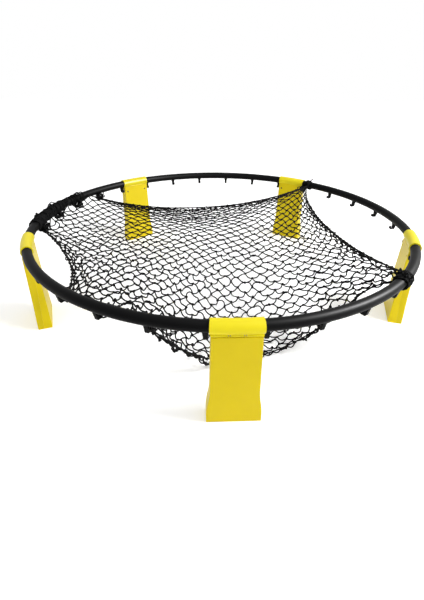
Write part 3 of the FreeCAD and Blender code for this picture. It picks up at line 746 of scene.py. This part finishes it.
def knot_tree(material):
    tree = bpy.data.node_groups.new("knotted_net", "GeometryNodeTree")
    tree.interface.new_socket("Wires", in_out="INPUT", socket_type="NodeSocketGeometry")
    tree.interface.new_socket("Cord radius", in_out="INPUT", socket_type="NodeSocketFloat")
    tree.interface.new_socket("Knot radius", in_out="INPUT", socket_type="NodeSocketFloat")
    tree.interface.new_socket("Net", in_out="OUTPUT", socket_type="NodeSocketGeometry")
    given = add_node(tree, "NodeGroupInput")
    curves = add_node(tree, "GeometryNodeMeshToCurve", {"Mesh": given.outputs["Wires"]})
    travelled = add_node(tree, "GeometryNodeSplineParameter").outputs["Length"]
    marked = add_node(tree, "GeometryNodeStoreNamedAttribute", {
        "Geometry": curves.outputs["Curve"], "Name": "cord_along", "Value": travelled,
    })
    circle = add_node(tree, "GeometryNodeCurvePrimitiveCircle", {
        "Resolution": CORD_SIDES, "Radius": given.outputs["Cord radius"],
    })
    tubes = add_node(tree, "GeometryNodeCurveToMesh", {
        "Curve": marked.outputs["Geometry"],
        "Profile Curve": circle.outputs["Curve"],
    })
    lump = add_node(tree, "GeometryNodeMeshUVSphere", {
        "Segments": KNOT_SIDES, "Rings": KNOT_RINGS, "Radius": given.outputs["Knot radius"],
    })
    is_knot = add_node(tree, "GeometryNodeInputNamedAttribute", {
        "Name": "is_knot",
    }, data_type="BOOLEAN")
    turn = add_node(tree, "FunctionNodeRandomValue", {
        "Min": (0.0, 0.0, 0.0), "Max": (math.pi, math.pi, math.pi), "Seed": 3,
    }, data_type="FLOAT_VECTOR")
    lumps = add_node(tree, "GeometryNodeInstanceOnPoints", {
        "Points": given.outputs["Wires"],
        "Selection": is_knot.outputs[0],
        "Instance": lump.outputs["Mesh"],
        "Rotation": turn.outputs[0],
        "Scale": KNOT_SHAPE,
    })
    both = add_node(tree, "GeometryNodeJoinGeometry")
    tree.links.new(lumps.outputs["Instances"], both.inputs[0])
    tree.links.new(tubes.outputs["Mesh"], both.inputs[0])
    real = add_node(tree, "GeometryNodeRealizeInstances", {"Geometry": both.outputs[0]})
    smooth = add_node(tree, "GeometryNodeSetShadeSmooth", {"Geometry": real.outputs[0]})
    coated = add_node(tree, "GeometryNodeSetMaterial", {
        "Geometry": smooth.outputs[0], "Material": material,
    })
    add_node(tree, "NodeGroupOutput", {"Net": coated.outputs[0]})
    return tree


net_tree = knot_tree(cord_black)
print("nodes in the net's tree:", len(net_tree.nodes))


# %% Grow the net
def grow(name, wires, tree, values):
    """Runs a tree on loose wires and returns the plain mesh object that comes out."""
    source = bpy.data.objects.new(name + "_wires", wires)
    bpy.context.collection.objects.link(source)
    modifier = source.modifiers.new("grow", "NODES")
    modifier.node_group = tree
    for socket in tree.interface.items_tree:
        if socket.in_out == "INPUT" and socket.name in values:
            modifier[socket.identifier] = values[socket.name]
    graph = bpy.context.evaluated_depsgraph_get()
    mesh = bpy.data.meshes.new_from_object(source.evaluated_get(graph))
    bpy.data.objects.remove(source)
    piece = bpy.data.objects.new(name, mesh)
    bpy.context.collection.objects.link(piece)
    return piece


net = grow("knotted_net", wires, net_tree, {
    "Cord radius": CORD_RADIUS,
    "Knot radius": CORD_RADIUS * 2,
})
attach(net, "frame")
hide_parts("net")
print("net triangles", sum(len(face.vertices) - 2 for face in net.data.polygons))

# %% [markdown]
# ## Floor and light
# The set was photographed on a white sweep under soft light from above. The floor is a
# large white plane, and the world shows white behind it. A wide panel overhead and a
# softbox at the right, higher than the camera, light the set. More light would turn the
# background white too, but it would bleach the yellow, so the whiteness is only what the
# eye and the reflections get. A small lamp near the softbox only shows in what is glossy:
# it draws the soft grey streak along the tube's front right.

# %% Floor
WHITE = "#FFFFFF"
FLOOR_SIZE = 12
FLOOR_LIFT = 0.3


def seen_directly(tree):
    """1 for the eye, and for what shows in a gloss or through a clear piece."""
    ray = add_node(tree, "ShaderNodeLightPath").outputs
    eye_or_gloss = add_node(tree, "ShaderNodeMath", {
        0: ray["Is Camera Ray"], 1: ray["Is Glossy Ray"],
    })
    return add_node(tree, "ShaderNodeMath", {
        0: eye_or_gloss.outputs[0], 1: ray["Is Transmission Ray"],
    }).outputs[0]


def make_floor():
    """A white floor, which holds the shadows under the set. To the eye it is a little
    lighter than its light makes it, as a sweep that is lit on its own."""
    bpy.ops.mesh.primitive_plane_add(size=FLOOR_SIZE, location=(0, 0, 0))
    floor = bpy.context.object
    floor.name = "studio_floor"
    material, tree = new_material("white_studio_sweep")
    lift = add_node(tree, "ShaderNodeMath", {
        0: seen_directly(tree), 1: FLOOR_LIFT,
    }, operation="MULTIPLY")
    shader = add_node(tree, "ShaderNodeBsdfPrincipled", {
        "Base Color": colour(WHITE),
        "Roughness": 0.9,
        "Emission Color": colour(WHITE),
        "Emission Strength": lift.outputs[0],
    })
    add_node(tree, "ShaderNodeOutputMaterial", {"Surface": shader.outputs[0]})
    floor.data.materials.append(material)


make_floor()
print("floor:", FLOOR_SIZE, "m")

# %% World
SKY_LIGHT = 0.62
SKY_SEEN = 1.0


def make_world():
    """White for the eye and for reflections, and softer light for the rest."""
    world = bpy.data.worlds.new("studio")
    bpy.context.scene.world = world
    world.use_nodes = True
    tree = world.node_tree
    tree.nodes.clear()
    soft = add_node(tree, "ShaderNodeBackground", {"Color": colour(WHITE), "Strength": SKY_LIGHT})
    white = add_node(tree, "ShaderNodeBackground", {"Color": colour(WHITE), "Strength": SKY_SEEN})
    mix = add_node(tree, "ShaderNodeMixShader", {
        0: seen_directly(tree), 1: soft.outputs[0], 2: white.outputs[0],
    })
    add_node(tree, "ShaderNodeOutputWorld", {"Surface": mix.outputs[0]})


make_world()
print("sky:", SKY_LIGHT, "where it lights,", SKY_SEEN, "where it is seen")

# %% Lamps
def hang_lamp(light, aim):
    """Puts a light into the scene, turned so that it shines along a direction."""
    lamp = bpy.data.objects.new(light.name, light)
    bpy.context.collection.objects.link(lamp)
    lamp.rotation_euler = aim.to_track_quat("-Z", "Y").to_euler()
    return lamp


def add_lamp(name, place, aim, size, watts, lights_all=True):
    """A round softbox. One that does not light all only shows in what is glossy."""
    light = bpy.data.lights.new(name, "AREA")
    light.shape = "DISK"
    light.size = size
    light.energy = watts
    lamp = hang_lamp(light, Vector(aim) - Vector(place))
    lamp.location = place
    lamp.visible_diffuse = lights_all


def add_sun(name, aim, strength, spread):
    """Light of even strength all over the floor, as from a wide panel far away."""
    light = bpy.data.lights.new(name, "SUN")
    light.energy = strength
    light.angle = math.radians(spread)
    hang_lamp(light, Vector(aim))


add_sun("ceiling_panel", aim=(-0.1, 0.2, -1), strength=0.3, spread=70)
add_lamp("right_softbox", place=(1.64, -0.69, 1.79), aim=(0.16, -0.42, 0.19), size=0.6, watts=38)
add_lamp("tube_streak", place=(1.45, -0.3, 1.2), aim=(0.25, -0.35, 0.19), size=0.5, watts=220,
         lights_all=False)
bpy.context.scene.view_settings.view_transform = "Standard"
print("lamps:", [light.name for light in bpy.data.lights])

# %% [markdown]
# ## The camera
# The camera stands where the photograph was taken from. A ring of known size is seen as an
# ellipse, and its place, width and height in the photograph give the camera's place, its
# tilt and its focal length. Those could be found by eye as well, but the hooks at the back
# show an error of half a degree. The photograph is cut so that the middle of the lens isn't
# in the middle of the picture, which the shift gives.

# %% Camera
PHOTO_WIDTH = 424
PHOTO_HEIGHT = 600
FOCAL_PIXELS = 403.7
# The row of the photograph that the camera's axis goes through.
AXIS_ROW = 247
SENSOR_WIDTH = 36
CAMERA_PLACE = (-0.0612, -0.947, 0.5495)
CAMERA_HEADING = math.radians(2.537)
CAMERA_TILT = math.radians(24.51)
CAMERA_ROLL = math.radians(-0.564)


def make_camera():
    """Looks along +Y at first, is rolled, tilted down and then turned to its heading."""
    camera = bpy.data.cameras.new("photo_camera")
    camera.sensor_width = SENSOR_WIDTH
    camera.lens = FOCAL_PIXELS * SENSOR_WIDTH / PHOTO_HEIGHT
    camera.shift_y = (AXIS_ROW - PHOTO_HEIGHT / 2) / PHOTO_HEIGHT
    piece = bpy.data.objects.new("photo_camera", camera)
    bpy.context.collection.objects.link(piece)
    heading = Matrix.Rotation(-CAMERA_HEADING, 4, "Z")
    tilt = Matrix.Rotation(math.pi / 2 - CAMERA_TILT, 4, "X")
    roll = Matrix.Rotation(-CAMERA_ROLL, 4, "Z")
    piece.matrix_world = Matrix.Translation(CAMERA_PLACE) @ (heading @ tilt) @ roll
    bpy.context.scene.camera = piece
    return camera


camera = make_camera()
print("lens", round(camera.lens, 2), "mm, frame", PHOTO_WIDTH, "x", PHOTO_HEIGHT)
